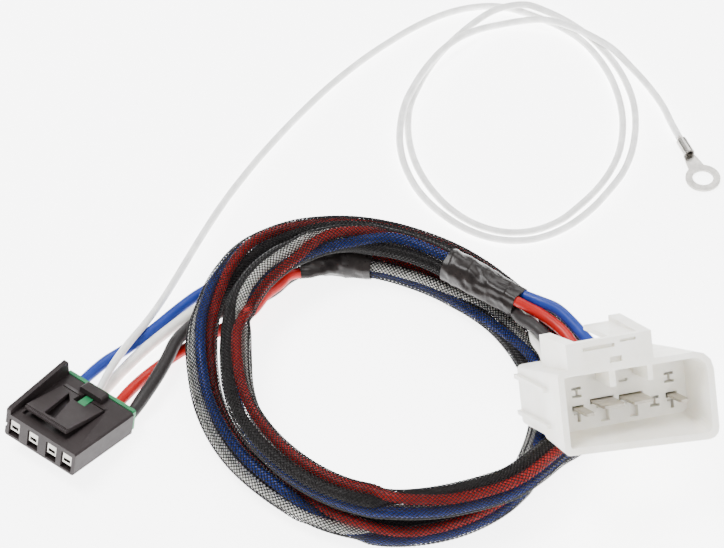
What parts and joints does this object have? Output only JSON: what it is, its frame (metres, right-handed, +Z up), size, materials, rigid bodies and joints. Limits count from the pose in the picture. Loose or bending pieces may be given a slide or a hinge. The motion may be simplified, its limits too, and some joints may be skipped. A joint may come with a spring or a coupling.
{
  "type": "wiring adapter harness",
  "caption": "Coiled wiring harness: dark latching plug, coloured wires in a braided sleeve, pale shrouded blade socket, and a thin white wire ending in a ring terminal.",
  "frame": {"origin": "on the surface the harness lies on, midway between the outer limits of the plug and the socket", "axes": "+X from the plug's side to the socket's side, +Y away from the connectors towards the ring terminal, +Z up from the surface"},
  "size_m": [0.2083, 0.217, 0.0549],
  "materials": {
    "plug_plastic": "fine satin moulding, warm dark grey",
    "lock_plastic": "satin moulding, green",
    "white_nylon": "natural nylon, slightly translucent",
    "tinned_contact": "tin plate on stamped copper alloy",
    "bare_strand": "tinned copper strands",
    "braid": "open monofilament braid, black",
    "tape": "wrinkled vinyl tape",
    "wire_blue": "smooth insulation",
    "wire_red": "smooth insulation",
    "wire_black": "smooth insulation",
    "wire_white": "smooth insulation, off-white"
  },
  "bodies": {
    "harness": {"plug_housing": "plug_plastic", "plug_terminal_1": "tinned_contact", "plug_terminal_2": "tinned_contact", "plug_terminal_3": "tinned_contact", "plug_terminal_4": "tinned_contact", "socket_housing": "white_nylon", "socket_blade_narrow_left": "tinned_contact", "socket_blade_wide_left": "tinned_contact", "socket_blade_wide_right": "tinned_contact", "socket_blade_narrow_right": "tinned_contact", "braided_sleeve": "braid", "plug_end_tape": "tape", "socket_end_tape": "tape", "blue_wire": "wire_blue", "red_wire": "wire_red", "black_wire": "wire_black", "white_wire": "wire_white", "ground_wire": "wire_white", "ground_wire_strands": "bare_strand", "ring_terminal": "tinned_contact"},
    "lock": {"plug_lock": "lock_plastic"},
    "latch": {"plug_latch_arm": "plug_plastic"}
  },
  "joints": [
    {"name": "plug_lock_slide", "type": "slide", "parent": "harness", "child": "lock", "axis": [0.5973, 0.7719, -0.2176], "range_m": [0, 0.0018]},
    {"name": "plug_latch_flex", "type": "hinge", "parent": "harness", "child": "latch", "pos_m": [-0.07733, 0.01336, 0.00845], "axis": [0.7909, -0.6119, 0], "range_deg": [0, 8], "stiffness_Nm_per_rad": 0.15}
  ]
}
